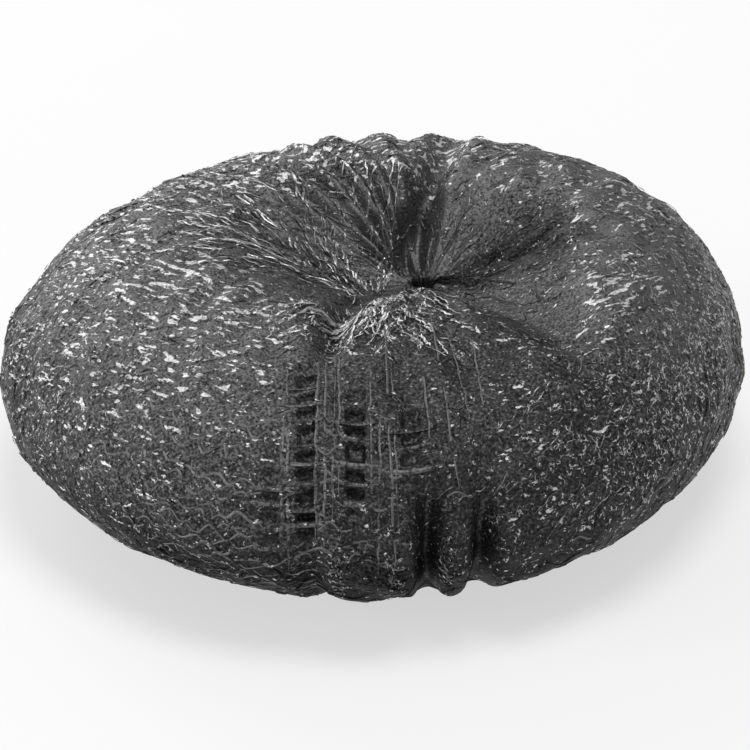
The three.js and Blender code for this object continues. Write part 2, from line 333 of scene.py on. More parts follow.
# Crumpled lie of the whole knit, as a sum of slow waves
CRUMPLE = 0.2 * MM
CRUMPLE_WAVES = 14
CRUMPLE_ROUND = (6, 34)
CRUMPLE_LENGTHS = (6 * MM, 16 * MM)
crumple_round = rng.integers(*CRUMPLE_ROUND, CRUMPLE_WAVES) * rng.choice((-1, 1), CRUMPLE_WAVES)
crumple_along = TAU / rng.uniform(*CRUMPLE_LENGTHS, CRUMPLE_WAVES)
crumple_phase = rng.uniform(0, TAU, CRUMPLE_WAVES)


def crumple(angle, distance):
    total = np.zeros_like(angle)
    along = from_widest(distance)
    for times_round, per_metre, phase in zip(crumple_round, crumple_along, crumple_phase):
        total += np.cos(times_round * angle + per_metre * along + phase)
    return CRUMPLE * total / math.sqrt(CRUMPLE_WAVES / 2)


def wander(rows, spots):
    """Seeded loose values that change evenly along each row and close round it."""
    table = rng.normal(0, 1, (rows, spots))

    def at(row, share):
        place = np.mod(share, 1.0) * spots
        first = np.floor(place).astype(int) % spots
        part = place - np.floor(place)
        return table[row, first] * (1 - part) + table[row, (first + 1) % spots] * part

    return at


# Reading and writing of meshes
MAP = "OFBake"


def read(rows, key, width):
    """A property of all rows of a mesh, as an array of so many columns."""
    flat = np.empty(len(rows) * width)
    rows.foreach_get(key, flat)
    return flat.reshape(-1, width)


def read_values(mesh, key):
    return read(mesh.attributes[key].data, "value", 1)[:, 0]


def write_values(mesh, **columns):
    """Keeps named values on the points of a mesh."""
    for key, values in columns.items():
        kept = mesh.attributes.get(key) or mesh.attributes.new(key, "FLOAT", "POINT")
        kept.data.foreach_set("value", values)


def to_mesh(name, bm):
    mesh = bpy.data.meshes.new(name)
    bm.to_mesh(mesh)
    bm.free()
    return mesh


def add_object(name, data):
    made = bpy.data.objects.new(name, data)
    bpy.context.scene.collection.objects.link(made)
    return made


# Stretches of the section that differ in looks, as distances from its widest line
UPPER_SIDE = (0, 16 * MM)
BOWL = (CROWN_AT - 2 * MM, CROWN_AT + 12 * MM)
BOWL_WALL = (CROWN_AT - 2 * MM, CROWN_AT + 8 * MM)

# Painted glints in the knit, as bright spots of base colour, thickest on the lit side and fewest in the
# bowl and under the painted shade of the foot: how thick they lie, and the spans of a cosine or sine where
# that changes
LIT_SIDE = math.radians(160)
LIT_SPAN = (-0.3, 0.5)
PAINTED_GLINTS_LIT = 1.0
PAINTED_GLINTS_ELSEWHERE = 0.48
PAINTED_GLINTS_BEHIND = 0.32
BEHIND_SPAN = (-0.1, 0.5)
PAINTED_GLINTS_LOW = 0.35
PAINTED_GLINTS_LOW_LEFT = 0.25
LOW_LEFT_SPAN = (0.3, 0.9)
FRONT_LOSS = 0.6
FRONT_LOSS_HALF_WIDTH = 0.5
LEFT_LOSS = 0.4
LEFT_LOSS_SPAN = (0.5, 0.9)
LEFT_LOSS_LEVEL = 4 * MM
LEFT_LOSS_HALF_HEIGHT = 12 * MM
BOWL_LOSS = 0.8
FOOT_LOSS = 0.8
CREST_PAINTED_GLINTS = 0.8
CREST_SIDE = math.radians(-22)
CREST_HALF_WIDTH = math.radians(16)
CREST_LEVEL = CROWN_AT - 3 * MM
CREST_HALF_HEIGHT = 6 * MM

# Painted glints in the knit as small bright curls, thickest at the right and left ends of the ring
PAINTED_SPARKLES_PLAIN = 0.1
PAINTED_SPARKLES_RIGHT = 0.85
RIGHT_END_SPAN = (0, 0.9)
PAINTED_SPARKLES_LEFT = 0.5
LEFT_END_SPAN = (0.4, 1)
PAINTED_SPARKLES_LEVEL = 8 * MM
PAINTED_SPARKLES_HALF_HEIGHT = 14 * MM
PAINTED_SPARKLES_BOWL_LOSS = 0.6

# Painted shading of the knit: painted shade at the front's foot, in creases and on the bowl's right wall,
# painted light elsewhere
FOOT_PAINTED_SHADE = 1.5
FOOT_HALF_WIDTH = math.radians(65)
FOOT_HEIGHTS = (4 * MM, 22 * MM)
CREASE_PAINTED_SHADE = 0.8
CREASE_PAINTED_SHADE_WIDTH = 1.2
CREASE_PAINTED_SHADE_HEIGHTS = (6 * MM, 22 * MM)
FRONT_PAINTED_SHADE = 0.22
FRONT_PAINTED_SHADE_HALF_WIDTH = 1.0
FRONT_PAINTED_SHADE_END = (14 * MM, 28 * MM)
WALL_PAINTED_SHADE = 0.5
WALL_SIDE = math.radians(6)
WALL_HALF_WIDTH = 0.6
PAINTED_LIGHT_RIGHT = 0.8
PAINTED_LIGHT_RIGHT_SIDE = math.radians(28)
PAINTED_LIGHT_RIGHT_SPAN = (0.1, 0.8)
PAINTED_LIGHT_LEFT = 0.5
PAINTED_LIGHT_LEFT_SPAN = (0, 0.6)
PAINTED_LIGHT_BOWL_FRONT = 0.3
PAINTED_LIGHT_BOWL_SPAN = (-0.3, 0.5)


def right_crest(angle, along):
    """The crest on the right of the front, where the light is caught again."""
    return beside(angle, CREST_SIDE, CREST_HALF_WIDTH) * hump(along - CREST_LEVEL, CREST_HALF_HEIGHT)


def painted_foot_shade(angle, height):
    """How much painted shade the front's foot and its creases get."""
    dark = FOOT_PAINTED_SHADE * (1 - ramp(height, *FOOT_HEIGHTS)) * beside(angle, FRONT, FOOT_HALF_WIDTH)
    for degrees, share, half_width in CREASES:
        crease = beside(angle, math.radians(degrees), CREASE_PAINTED_SHADE_WIDTH * math.radians(half_width))
        dark += CREASE_PAINTED_SHADE * share * crease * (1 - ramp(height, *CREASE_PAINTED_SHADE_HEIGHTS))
    return dark


# How thick the painted glints lie: most on the lit side, behind and on the right crest; fewer low down, at
# the front, low on the left, in the bowl and under the painted shade of the foot
def painted_glint_thickness(angle, along, foot):
    lit = PAINTED_GLINTS_ELSEWHERE + (PAINTED_GLINTS_LIT - PAINTED_GLINTS_ELSEWHERE) * ramp(np.cos(angle - LIT_SIDE), *LIT_SPAN)
    lit = np.minimum(lit + PAINTED_GLINTS_BEHIND * ramp(np.sin(angle), *BEHIND_SPAN), PAINTED_GLINTS_LIT)
    low = PAINTED_GLINTS_LOW + PAINTED_GLINTS_LOW_LEFT * ramp(-np.cos(angle), *LOW_LEFT_SPAN)
    lit = lit * (low + (1 - low) * ramp(along, *UPPER_SIDE))
    lit = lit * (1 - FRONT_LOSS * beside(angle, FRONT, FRONT_LOSS_HALF_WIDTH))
    left = ramp(-np.cos(angle), *LEFT_LOSS_SPAN) * hump(along - LEFT_LOSS_LEVEL, LEFT_LOSS_HALF_HEIGHT)
    lit = lit * (1 - LEFT_LOSS * left) * (1 - BOWL_LOSS * ramp(along, *BOWL))
    lit = lit + CREST_PAINTED_GLINTS * right_crest(angle, along)
    return lit * (1 - FOOT_LOSS * np.minimum(foot, 1))


# How thick the painted glints of curls lie: most at the right and left ends about the widest line, fewest
# in the bowl
def painted_sparkle_thickness(angle, along):
    ends = PAINTED_SPARKLES_RIGHT * ramp(np.cos(angle), *RIGHT_END_SPAN)
    ends = ends + PAINTED_SPARKLES_LEFT * ramp(-np.cos(angle), *LEFT_END_SPAN)
    ends = ends * hump(along - PAINTED_SPARKLES_LEVEL, PAINTED_SPARKLES_HALF_HEIGHT)
    return (PAINTED_SPARKLES_PLAIN + (1 - PAINTED_SPARKLES_PLAIN) * ends) * (1 - PAINTED_SPARKLES_BOWL_LOSS * ramp(along, *BOWL))


def gloom_depth(angle, along, foot):
    """How much painted shade the knit gets, and below 0 how much painted light."""
    # front and wall hold painted shade, right, left and behind hold painted light, and foot is the painted
    # shade of the front's foot and creases
    front = FRONT_PAINTED_SHADE * beside(angle, FRONT, FRONT_PAINTED_SHADE_HALF_WIDTH) * (1 - ramp(along, *FRONT_PAINTED_SHADE_END))
    wall = ramp(along, *BOWL_WALL) * beside(angle, WALL_SIDE, WALL_HALF_WIDTH)
    right = PAINTED_LIGHT_RIGHT * ramp(np.cos(angle - PAINTED_LIGHT_RIGHT_SIDE), *PAINTED_LIGHT_RIGHT_SPAN)
    left = PAINTED_LIGHT_LEFT * ramp(-np.cos(angle), *PAINTED_LIGHT_LEFT_SPAN)
    behind = PAINTED_LIGHT_BOWL_FRONT + (1 - PAINTED_LIGHT_BOWL_FRONT) * ramp(np.sin(angle), *PAINTED_LIGHT_BOWL_SPAN)
    painted_light = np.maximum(behind * ramp(along, *BOWL), (right + left) * ramp(along, *UPPER_SIDE))
    return np.maximum(np.maximum(WALL_PAINTED_SHADE * wall, foot), front) - painted_light * (1 - wall)


def mark(mesh, angle, distance):
    """Writes on a mesh how thick the painted glints of the knit lie, as spots and curls, and its painted
    shading: painted shade, and below 0 painted light.
    """
    along = from_widest(distance)
    # foot: painted shade at the front's foot and in its creases
    foot = painted_foot_shade(angle, on_section(distance)[1])
    cells = cell_share(angle, distance)
    write_values(mesh, flecks=painted_glint_thickness(angle, along, foot) - cells,
                 specks=painted_sparkle_thickness(angle, along) - cells, gloom=gloom_depth(angle, along, foot))


# Sheets of straight ribbon with three sides, which are then laid on the ring
RIBBON_SIDES = 3
ROW_GAP = 10.0
PATH_STEP = 0.02
FLOOR_TOUCH = 0.05 * MM
SEAM = 1e-7


def sides_round(point):
    """How many sides of a ribbon a point lies round its middle line."""
    return math.atan2(point.z, point.y) / TAU * RIBBON_SIDES


def ribbon_sheet(name, stitches, rows, steps):
    """Straight ribbons side by side: a unit for each stitch along X, a row every ROW_GAP in Y."""
    bm = bmesh.new()
    bmesh.ops.create_circle(bm, segments=RIBBON_SIDES, radius=1 / math.sqrt(3))
    bmesh.ops.rotate(bm, verts=bm.verts, matrix=Euler((math.pi / 2, 0, math.pi / 2)).to_matrix())
    bmesh.ops.spin(bm, geom=bm.verts[:] + bm.edges[:], axis=(1, 0, 0), cent=(0, 0, 0), angle=0,
                   dvec=(1 / steps, 0, 0), steps=steps)
    uv = bm.loops.layers.uv.new(MAP)
    half_round = RIBBON_SIDES / 2
    for face in bm.faces:
        side = round(sides_round(face.calc_center_median()) + RIBBON_SIDES) % RIBBON_SIDES
        for loop in face.loops:
            corner = sides_round(loop.vert.co) - side
            corner = np.mod(corner + half_round, RIBBON_SIDES) - half_round
            loop[uv].uv = (loop.vert.co.x, (side + corner + 0.5) / RIBBON_SIDES)
    mesh = to_mesh(name, bm)
    holder = add_object(name, mesh)
    for count, step, shift in ((stitches, (1, 0, 0), (1, 0)), (rows, (0, ROW_GAP, 0), (0, 1))):
        array = holder.modifiers.new("array", "ARRAY")
        array.count = count
        array.use_relative_offset = False
        array.use_constant_offset = True
        array.constant_offset_displace = step
        array.offset_u, array.offset_v = shift
    sheet = bpy.data.meshes.new_from_object(holder.evaluated_get(bpy.context.evaluated_depsgraph_get()))
    bpy.data.objects.remove(holder)
    bpy.data.meshes.remove(mesh)
    tile_map(sheet, stitches, rows)
    return sheet


def tile_map(sheet, stitches, rows):
    """Gives every ribbon of a sheet its own strip of the map, in columns where the ribbons are short."""
    columns = max(1, round(math.sqrt(rows / stitches)))
    layer = sheet.uv_layers[MAP].data
    corners = read(layer, "uv", 2).reshape(-1, 4, 2)
    row = np.floor(corners[:, :, 1].mean(axis=1, keepdims=True))
    corners[:, :, 0] = (row % columns + corners[:, :, 0] / stitches) / columns
    corners[:, :, 1] = (row // columns + corners[:, :, 1] - row) / math.ceil(rows / columns)
    layer.foreach_set("uv", corners.ravel())


def lay(sheet, stitches, place, manner, flatness):
    """Bends a sheet of straight ribbons to the middle lines that place() gives, lying as manner() says."""
    flat = read(sheet.vertices, "co", 3)
    share = flat[:, 0] / stitches
    row = np.rint(flat[:, 1] / ROW_GAP).astype(int)
    across = flat[:, 1] - row * ROW_GAP
    up = flat[:, 2]
    angle, distance, lift = place(share, row)
    step = PATH_STEP / stitches
    way = unit(ring_point(*place(share + step, row)) - ring_point(*place(share - step, row)))
    side = unit(np.cross(ring_normal(angle, distance, lift), way))
    over = np.cross(way, side)
    width, twist, shine = manner(share, row)
    lean, stand = np.cos(twist)[:, None], np.sin(twist)[:, None]
    flat_way = (side * lean + over * stand) * width[:, None]
    high_way = (over * lean - side * stand) * width[:, None] * flatness
    points = ring_point(angle, distance, lift) + flat_way * across[:, None] + high_way * up[:, None]
    points[:, 2] = FLOOR_TOUCH * np.logaddexp(0, points[:, 2] / FLOOR_TOUCH)
    sheet.vertices.foreach_set("co", points.ravel())
    write_values(sheet, shine=shine)
    mark(sheet, angle, distance)


def leave_out(sheet, stitches, gone):
    """Takes pieces of ribbon out of a straight sheet, where gone() says so."""
    centres = read(sheet.polygons, "center", 3)
    taken = gone(centres[:, 0] / stitches, np.rint(centres[:, 1] / ROW_GAP).astype(int))
    bm = bmesh.new()
    bm.from_mesh(sheet)
    bm.faces.ensure_lookup_table()
    bmesh.ops.delete(bm, geom=[bm.faces[number] for number in np.flatnonzero(taken)], context="FACES")
    bm.to_mesh(sheet)
    bm.free()


def join(name, meshes, material):
    """One piece from several meshes, with their seams and ends closed and their maps side by side."""
    bm = bmesh.new()
    for number, mesh in enumerate(meshes):
        layer = mesh.uv_layers[MAP].data
        corners = read(layer, "uv", 2)
        corners[:, 1] = (corners[:, 1] + number) / len(meshes)
        layer.foreach_set("uv", corners.ravel())
        bm.from_mesh(mesh)
        bpy.data.meshes.remove(mesh)
    bmesh.ops.remove_doubles(bm, verts=bm.verts, dist=SEAM)
    open_edges = [edge for edge in bm.edges if edge.is_boundary]
    bmesh.ops.holes_fill(bm, edges=open_edges, sides=RIBBON_SIDES)
    bmesh.ops.recalc_face_normals(bm, faces=bm.faces)
    joined = to_mesh(name, bm)
    joined.materials.append(material)
    piece = add_object(name, joined)
    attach(piece, "root")
    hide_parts("knitted_pad")
    return piece


# Rows of stitches, each loosened by so much of a stitch, a row or a ribbon
FRONT_STRETCH = 0.25
STITCH_STEPS = 9
STITCH_RISE = 0.56
STITCH_SHIFT = 0.12
STITCH_CLIMB = 0.2
ROW_DRIFT = 0.1
STITCH_LIFT = -0.05 * MM
STITCH_SWELL = 0.05 * MM
STITCH_RIBBON = 0.36 * MM
STITCH_WIDENING = 0.25
STITCH_FLATNESS = 0.25
STITCH_TWIST = 0.15
STITCH_WHOLE = 0.05
STITCH_BREAKS = 0.15


def all_over(angle, distance):
    return np.full_like(angle, STITCH_WHOLE)


def knit(name, start, end, stitches, pitch, ribbon=STITCH_RIBBON, kept=all_over, breaks=STITCH_BREAKS):
    """Rows of drawn-out stitches between two distances along the section, each row against the last."""
    rows = max(1, round((end - start) / pitch))
    pitch = (end - start) / rows
    sheet = ribbon_sheet(name, stitches, rows, STITCH_STEPS)
    shift, climb, swell = wander(rows, 2 * stitches), wander(rows, 2 * stitches), wander(rows, 3 * stitches)
    turn_over, broad, bright = wander(rows, 2 * stitches), wander(rows, stitches), wander(rows, stitches)
    broken = wander(rows, 2 * stitches)
    phase = rng.normal(0, ROW_DRIFT, rows).cumsum()

    def place(share, row):
        turn = TAU * share * stitches + math.pi * (row % 2)
        angle = TAU * (share + (STITCH_SHIFT * shift(row, share) + phase[row]) / stitches)
        angle = angle + FRONT_STRETCH * np.sin(angle - FRONT)
        climbed = row + 0.5 + STITCH_RISE * np.cos(turn) + STITCH_CLIMB * climb(row, share)
        distance = start + pitch * climbed
        lift = STITCH_LIFT + STITCH_SWELL * swell(row, share)
        return angle, distance, lift + crumple(angle, distance)

    def manner(share, row):
        width = ribbon * (1 + STITCH_WIDENING * broad(row, share))
        level = np.cos(2 * TAU * share * stitches)
        return width, STITCH_TWIST * turn_over(row, share), bright(row, share) + level

    def gone(share, row):
        angle, distance, _ = place(share, row)
        return in_ladder(angle, distance) | (kept(angle, distance) < breaks * broken(row, share))

    leave_out(sheet, stitches, gone)
    lay(sheet, stitches, place, manner, STITCH_FLATNESS)
    return sheet


# Free ribbons that taper to their tips and twist a little
LOOSE_FLATNESS = 0.15
LOOSE_TWIST = 0.3
LOOSE_TIP = 0.3
LOOSE_TIP_SHARE = 0.2


def loose(name, angle, distance, lift, width, shine, steps):
    """Free ribbons, one a row, through knots given by angle, distance along the section and lift."""
    knots = np.stack(np.broadcast_arrays(angle, distance, lift), axis=-1)
    rows, count, _ = knots.shape
    spans = count - 1
    sheet = ribbon_sheet(name, spans, rows, steps)
    turn_over = rng.normal(0, LOOSE_TWIST, (rows, 2)).cumsum(axis=1)
    bright = wander(rows, 2 * count)

    def place(share, row):
        position = share * spans
        first = np.clip(np.floor(position), 0, spans - 1).astype(int)
        part = (position - first)[:, None]
        before, here = knots[row, np.maximum(first - 1, 0)], knots[row, first]
        there, after = knots[row, first + 1], knots[row, np.minimum(first + 2, spans)]
        curve = 2 * before - 5 * here + 4 * there - after + (3 * (here - there) + after - before) * part
        spot = here + 0.5 * part * (there - before + part * curve)
        return spot[:, 0], spot[:, 1], spot[:, 2]

    def manner(share, row):
        taper = LOOSE_TIP + (1 - LOOSE_TIP) * ramp(np.minimum(share, 1 - share), 0, LOOSE_TIP_SHARE)
        twist = turn_over[row, 0] * (1 - share) + turn_over[row, 1] * share
        return width[row] * taper, twist, shine[row] + bright(row, share)

    lay(sheet, spans, place, manner, LOOSE_FLATNESS)
    return sheet


def between_ends(first, last, knots):
    """Rows of even values from first to last."""
    return first[:, None] + (last - first)[:, None] * np.linspace(0, 1, knots)


def node(tree, kind, **settings):
    made = tree.nodes.new(kind)
    for key, value in settings.items():
        setattr(made, key, value)
    return made


def set_inputs(made, values):
    for key, value in values.items():
        made.inputs[key].default_value = value


def grey(tone):
    return tone, tone, tone, 1


def calculate(tree, operation, *operands):
    made = node(tree, "ShaderNodeMath", operation=operation)
    for socket, operand in zip(made.inputs, operands):
        if isinstance(operand, (int, float)):
            socket.default_value = operand
        else:
            tree.links.new(operand, socket)
    return made.outputs["Value"]


def noise(tree, vector, scale, detail):
    made = node(tree, "ShaderNodeTexNoise")
    set_inputs(made, {"Scale": scale, "Detail": detail})
    tree.links.new(vector, made.inputs["Vector"])
    return made.outputs["Fac"]


def between(tree, value, low, high):
    made = node(tree, "ShaderNodeMapRange", interpolation_type="SMOOTHSTEP")
    set_inputs(made, {"From Min": low, "From Max": high})
    tree.links.new(value, made.inputs["Value"])
    return made.outputs["Result"]


def attribute(tree, name):
    return node(tree, "ShaderNodeAttribute", attribute_name=name).outputs["Fac"]


def greys(tree, value, stops):
    """Grey tones over a value, from rows of position and tone."""
    made = node(tree, "ShaderNodeValToRGB")
    elements = made.color_ramp.elements
    while len(elements) < len(stops):
        elements.new(0.5)
    for element, (position, tone) in zip(elements, stops):
        element.position = position
        element.color = grey(tone)
    tree.links.new(value, made.inputs["Fac"])
    return made.outputs["Color"]


# Sockets of the mix node for its share, its two colours and what comes out
MIX_INPUTS = (0, 6, 7)
MIX_COLOUR = 2


def blend(tree, *sources):
    """A share of the way from one colour to another."""
    made = node(tree, "ShaderNodeMix", data_type="RGBA")
    for socket, source in zip(MIX_INPUTS, sources):
        tree.links.new(source, made.inputs[socket])
    return made.outputs[MIX_COLOUR]


def new_material(name):
    """A new material, with its node tree and shader."""
    material = bpy.data.materials.new(name)
    material.use_nodes = True
    return material, material.node_tree, material.node_tree.nodes["Principled BSDF"]


# Steel of both finishes
STEEL_METALLIC = 0.9
STEEL_EDGE_TONE = 0.8
RELIEF_STRENGTH = 0.8


def steel(name, roughness):
    """A new dull metal, with its node tree, shader and place on the piece."""
    material, tree, shader = new_material(name)
    set_inputs(shader, {"Metallic": STEEL_METALLIC, "Roughness": roughness,
                        "Specular Tint": grey(STEEL_EDGE_TONE)})
    return material, tree, shader, node(tree, "ShaderNodeTexCoord").outputs["Object"]


def relief(tree, shader, height, distance):
    bump = node(tree, "ShaderNodeBump")
    set_inputs(bump, {"Strength": RELIEF_STRENGTH, "Distance": distance})
    tree.links.new(height, bump.inputs["Height"])
    tree.links.new(bump.outputs["Normal"], shader.inputs["Normal"])


# Single ribbons: grain as noise a metre and its detail, tones as rows of position and grey
RIBBON_ROUGHNESS = 0.42
RIBBON_GRAIN = (2100, 3)
RIBBON_GRAIN_SHARE = 1.2
RIBBON_SHINE_SHARE = 1 / 6
RIBBON_DULLNESS = -0.18
RIBBON_TONES = ((0.2, 0.05), (0.62, 0.16), (0.95, 0.65))
RIBBON_RELIEF = 0.15 * MM


def ribbon_steel(name):
    """Galvanised ribbon: dull grey that differs from ribbon to ribbon, with some bright ones."""
    material, tree, shader, place = steel(name, RIBBON_ROUGHNESS)
    grain = noise(tree, place, *RIBBON_GRAIN)
    tone = calculate(tree, "MULTIPLY_ADD", attribute(tree, "shine"), RIBBON_SHINE_SHARE, RIBBON_DULLNESS)
    tone = calculate(tree, "MULTIPLY_ADD", grain, RIBBON_GRAIN_SHARE, tone)
    tree.links.new(greys(tree, tone, RIBBON_TONES), shader.inputs["Base Color"])
    relief(tree, shader, grain, RIBBON_RELIEF)
    return material


# Matted knit: its dark grain, how strongly its painted shade darkens it and its painted light lightens it,
# and the tones and height of the painted glints in it
KNIT_ROUGHNESS = 0.5
KNIT_GRAIN = (2600, 4)
KNIT_PAINTED_SHADING = -0.24
KNIT_TONES = ((0.22, 0.005), (0.5, 0.05), (0.68, 0.16))
PAINTED_GLINT_TONES = ((0.3, 0.38), (0.6, 0.82))
BRIGHT_RELIEF = 0.5
KNIT_RELIEF = 0.25 * MM

# Painted glints of the knit, as spots: size along X, Y and Z, how far they turn with X, and the edge of
# their noise
PAINTED_GLINT_SIZE = (1.7 * MM, 1.0 * MM, 0.7 * MM)
PAINTED_GLINT_SLANT = 0.5
PAINTED_GLINT_NOISE = (1, 3)
PAINTED_GLINT_SHARE = 0.14
PAINTED_GLINT_EDGE = (0.705, 0.735)

# Painted glints of the knit, as thin curls along the middle of one noise, in the crowds of another
PAINTED_SPARKLE_NOISE = (1400, 2)
PAINTED_SPARKLE_MIDDLE = 0.5
PAINTED_SPARKLE_EDGE = (0.05, 0.01)
CROWD_NOISE = (1100, 1)
CROWD_SHARE = 0.2
CROWD_EDGE = (0.65, 0.72)


def painted_glint_place(tree, place):
    """Place on the knit in fleck sizes, turned more and more with X."""
    split = node(tree, "ShaderNodeSeparateXYZ")
    tree.links.new(place, split.inputs["Vector"])
    x, y, z = (split.outputs[key] for key in "XYZ")
    square = calculate(tree, "MULTIPLY", x, x)
    turned = calculate(tree, "MULTIPLY_ADD", square, -PAINTED_GLINT_SLANT / OUTER_RADIUS, y)
    slanted = node(tree, "ShaderNodeCombineXYZ")
    for key, source in zip("XYZ", (x, turned, z)):
        tree.links.new(source, slanted.inputs[key])
    sized = node(tree, "ShaderNodeVectorMath", operation="DIVIDE")
    sized.inputs[1].default_value = PAINTED_GLINT_SIZE
    tree.links.new(slanted.outputs["Vector"], sized.inputs[0])
    return sized.outputs["Vector"]


# Where the painted glints of spots lie, from 0 to 1
def painted_glint_share(tree, place):
    patches = noise(tree, painted_glint_place(tree, place), *PAINTED_GLINT_NOISE)
    fleck = calculate(tree, "MULTIPLY_ADD", attribute(tree, "flecks"), PAINTED_GLINT_SHARE, patches)
    return between(tree, fleck, *PAINTED_GLINT_EDGE)


# Where the painted glints of curls lie, from 0 to 1
def painted_sparkle_share(tree, place):
    level = calculate(tree, "SUBTRACT", noise(tree, place, *PAINTED_SPARKLE_NOISE), PAINTED_SPARKLE_MIDDLE)
    curl = between(tree, calculate(tree, "ABSOLUTE", level), *PAINTED_SPARKLE_EDGE)
    crowd = noise(tree, place, *CROWD_NOISE)
    crowd = calculate(tree, "MULTIPLY_ADD", attribute(tree, "specks"), CROWD_SHARE, crowd)
    return calculate(tree, "MULTIPLY", curl, between(tree, crowd, *CROWD_EDGE))


def knitted_steel(name):
    """Matted knit of galvanised ribbon: a fine dark grain, with painted shade and painted light laid over
    it, and painted glints as bright spots and curls.
    """
    material, tree, shader, place = steel(name, KNIT_ROUGHNESS)
    grain = noise(tree, place, *KNIT_GRAIN)
    # The grain, darker under painted shade and lighter under painted light
    dark = calculate(tree, "MULTIPLY_ADD", attribute(tree, "gloom"), KNIT_PAINTED_SHADING, grain)
    # bright: where the painted glints lie
    bright = calculate(tree, "MAXIMUM", painted_glint_share(tree, place), painted_sparkle_share(tree, place))
    colour = blend(tree, bright, greys(tree, dark, KNIT_TONES), greys(tree, grain, PAINTED_GLINT_TONES))
    tree.links.new(colour, shader.inputs["Base Color"])
    relief(tree, shader, calculate(tree, "MULTIPLY_ADD", bright, BRIGHT_RELIEF, grain), KNIT_RELIEF)
    return material


# Matted turns of the roll, from which the outer stitches stand out, with a finer mesh at the front
BODY_ROUND = 380
BODY_ALONG = 250
BODY_CROWDED = 0.72
BODY_FINE_LINES = (0, 100, 230, 250)
BODY_FINE_AT = (0, 30 * MM, section_length - 6 * MM, section_length)
BODY_LIFT = -0.1 * MM


def matted_turns():
    bm = bmesh.new()
    bm.loops.layers.uv.new(MAP)
    bmesh.ops.create_grid(bm, x_segments=BODY_ROUND, y_segments=BODY_ALONG, size=0.5, calc_uvs=True)
    body = to_mesh("matted turns", bm)
    flat = read(body.vertices, "co", 3)
    turn = TAU * flat[:, 0]
    angle = FRONT + (turn - BODY_CROWDED * np.sin(turn))
    distance = np.interp((flat[:, 1] + 0.5) * BODY_ALONG, BODY_FINE_LINES, BODY_FINE_AT)
    sunk = BODY_LIFT + crumple(angle, distance) - CELL_DEPTH * cell_share(angle, distance)
    body.vertices.foreach_set("co", ring_point(angle, distance, sunk).ravel())
    mark(body, angle, distance)
    return body


# Outer stitches, with fewer a row towards the hole: zones of start, end, stitches a row and row pitch
SHOULDER_END = 20 * MM
CROWN_SPLIT = 33 * MM
DIMPLE_START = CROWN_AT + 9 * MM
UNDER_DIMPLE_END = UNDER_CROWN_AT - 9 * MM
HOLE_EDGE = 2.5 * MM
ROW = 1.6 * MM
DRAWN_ROW = 3.2 * MM
OUTER_STITCHES = (
    ("shoulder_knit", ((0, SHOULDER_END, 92, ROW),)),
    ("crown_knit", (
        (SHOULDER_END, CROWN_SPLIT, 72, ROW),
        (CROWN_SPLIT, DIMPLE_START, 50, ROW),
        (DIMPLE_START, PINCH_AT - HOLE_EDGE, 32, DRAWN_ROW),
    )),
    ("under_shoulder_knit", ((-SHOULDER_END, 0, 92, ROW),)),
    ("under_crown_knit", (
        (section_length - CROWN_SPLIT, section_length - SHOULDER_END, 72, ROW),
        (UNDER_DIMPLE_END, section_length - CROWN_SPLIT, 50, ROW),
        (UNDER_PINCH_AT + HOLE_EDGE, UNDER_DIMPLE_END, 32, DRAWN_ROW),
    )),
)

# Cells drawn open on the left of the stretched patch
DRAWN_SIDE = math.radians(-112)
DRAWN_HALF_WIDTH = math.radians(20)
DRAWN_LEVEL = 5 * MM
DRAWN_HALF_HEIGHT = 14 * MM
DRAWN_FOOT = -11 * MM
DRAWN_TOP = 19 * MM
DRAWN_CELLS = 92
DRAWN_PITCH = 1.05 * MM
DRAWN_RIBBON = 0.28 * MM
DRAWN_EDGE = 0.35
DRAWN_BREAKS = 0.25


def drawn(angle, distance):
    """How far a place lies in the drawn patch, below 0 outside it."""
    aside = beside(angle, DRAWN_SIDE, DRAWN_HALF_WIDTH)
    return aside * hump(from_widest(distance) - DRAWN_LEVEL, DRAWN_HALF_HEIGHT) - DRAWN_EDGE


def drawn_cells():
    return knit("cells", DRAWN_FOOT, DRAWN_TOP, DRAWN_CELLS, DRAWN_PITCH, DRAWN_RIBBON, drawn, DRAWN_BREAKS)


# Flat heads of stitches that catch the light, in short runs: where they lie
HEAD_RUNS = 420
HEAD_TRIES = 20
HEADS_FROM_HOLE = 5 * MM
HEADS_ELSEWHERE = 0.08
HEADS_LIT_SPAN = (-0.4, 0.6)
HEADS_LOW = 0.15
HEADS_RISE = (-6 * MM, 8 * MM)
HEADS_HEIGHTS = (0, 12 * MM)
HEADS_END = (CROWN_AT, CROWN_AT + 6 * MM)

# Their runs, which slant on the crown and run up and down near the hole, and single heads
RUN_MOST = 4
RUN_SLANT = 0.9
RUN_SLANT_RADII = (14 * MM, 26 * MM)
RUN_TURN = 0.2
HEAD_STEPS = 1
HEAD_LENGTH = 0.7 * MM
HEAD_WIDTH = 0.4 * MM
HEAD_SIZE_SPREAD = 0.3
HEAD_STEP = 0.75 * HEAD_LENGTH
HEAD_STEP_SPREAD = 0.15 * HEAD_LENGTH
HEAD_ASIDE = 0.6 * HEAD_WIDTH
HEAD_TURN = 0.25
HEAD_LIFT = 0.14 * MM
HEAD_BEND = 0.1 * MM
HEAD_UNEVEN = 0.04 * MM
# Their shine gives them a lighter tone: a painted glint, added to the real glints of their flat faces
HEAD_SHINE = (0.2, 2.0)
HEAD_SHINE_SPREAD = 0.5


def head_thickness(angle, along, height):
    """How thick the heads lie: most on the lit side and the right crest, none in the bowl."""
    lit = HEADS_ELSEWHERE + (1 - HEADS_ELSEWHERE) * ramp(np.cos(angle - LIT_SIDE), *HEADS_LIT_SPAN)
    low = HEADS_LOW + (1 - HEADS_LOW) * ramp(along, *HEADS_RISE) * ramp(height, *HEADS_HEIGHTS)
    return (lit * low + right_crest(angle, along)) * (1 - ramp(along, *HEADS_END))


